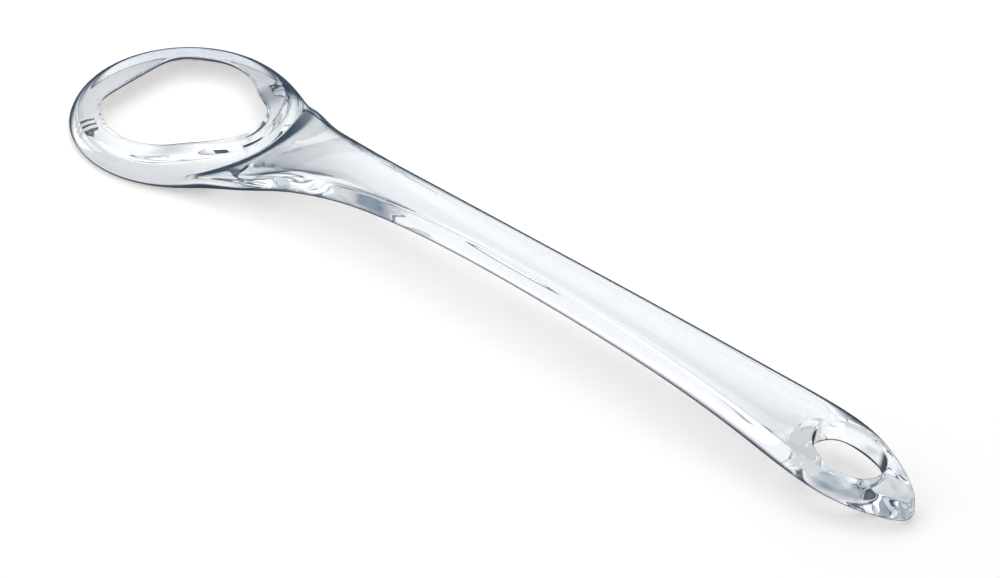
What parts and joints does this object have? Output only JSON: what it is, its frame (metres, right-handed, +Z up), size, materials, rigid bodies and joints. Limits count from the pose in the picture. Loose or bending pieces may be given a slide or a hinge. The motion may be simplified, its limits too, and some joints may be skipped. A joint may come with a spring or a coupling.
{
  "type": "long open-ring handle",
  "caption": "Long clear moulded handle that arches from a round ring with an opening to a flat leaf-shaped end with a hang hole.",
  "frame": {"origin": "centre of the bounding box's bottom face, on the surface that the handle lies on", "axes": "+X from the ring to the tip, +Z up out of the ring's top face, +Y to the left when looking from the ring to the tip"},
  "size_m": [0.401, 0.088, 0.0267],
  "materials": {
    "clear_plastic": "clear glossy moulded plastic"
  },
  "bodies": {
    "root": {"clear_handle": "clear_plastic"}
  },
  "joints": []
}
